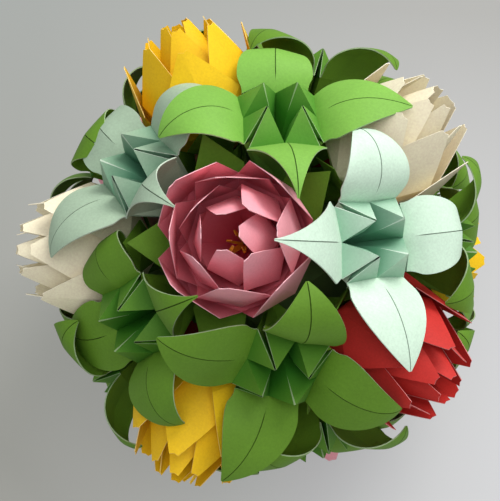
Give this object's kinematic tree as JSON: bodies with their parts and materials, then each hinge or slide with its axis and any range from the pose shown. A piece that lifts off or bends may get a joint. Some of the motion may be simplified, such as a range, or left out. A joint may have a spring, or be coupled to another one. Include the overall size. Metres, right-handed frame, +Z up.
{
  "type": "kusudama paper ball",
  "caption": "Ball of folded paper: green and mint lilies and nested tulips in pink, yellow, cream and red, glued round a hidden core.",
  "frame": {"origin": "middle of the underside of the ball's bounding box, on the surface it rests on", "axes": "+Z up through one lily; -Y is the side with the pink tulip that the picture looks at"},
  "size_m": [0.2436, 0.2644, 0.2343],
  "materials": {
    "green_paper": "matte folded paper",
    "mint_paper": "matte folded paper",
    "pink_paper": "matte folded paper",
    "yellow_paper": "matte folded paper",
    "cream_paper": "matte folded paper",
    "red_paper": "matte folded paper",
    "orange_paper": "matte curled paper strips",
    "core_paper": "hidden pressed paper ball"
  },
  "bodies": {
    "root": {"lily_01": "green_paper", "lily_02": "mint_paper", "lily_03": "mint_paper", "lily_04": "green_paper", "lily_05": "green_paper", "lily_06": "green_paper", "lily_07": "green_paper", "lily_08": "green_paper", "lily_09": "green_paper", "lily_10": "green_paper", "lily_11": "green_paper", "lily_12": "green_paper", "lily_13": "green_paper", "lily_14": "green_paper", "lily_15": "green_paper", "lily_16": "green_paper", "lily_17": "green_paper", "lily_18": "green_paper", "lily_19": "green_paper", "lily_20": "green_paper", "calyx_01": "green_paper", "tulip_01_outer": "pink_paper", "tulip_01_inner": "pink_paper", "calyx_02": "green_paper", "tulip_02_outer": "cream_paper", "tulip_02_inner": "cream_paper", "calyx_03": "green_paper", "tulip_03_outer": "yellow_paper", "tulip_03_inner": "yellow_paper", "calyx_04": "green_paper", "tulip_04_outer": "red_paper", "tulip_04_inner": "red_paper", "calyx_05": "green_paper", "tulip_05_outer": "cream_paper", "tulip_05_inner": "cream_paper", "calyx_06": "green_paper", "tulip_06_outer": "yellow_paper", "tulip_06_inner": "yellow_paper", "calyx_07": "green_paper", "tulip_07_outer": "red_paper", "tulip_07_inner": "red_paper", "calyx_08": "green_paper", "tulip_08_outer": "yellow_paper", "tulip_08_inner": "yellow_paper", "calyx_09": "green_paper", "tulip_09_outer": "pink_paper", "tulip_09_inner": "pink_paper", "calyx_10": "green_paper", "tulip_10_outer": "pink_paper", "tulip_10_inner": "pink_paper", "calyx_11": "green_paper", "tulip_11_outer": "red_paper", "tulip_11_inner": "red_paper", "calyx_12": "green_paper", "tulip_12_outer": "cream_paper", "tulip_12_inner": "cream_paper", "stamens": "orange_paper", "core": "core_paper"}
  },
  "joints": []
}
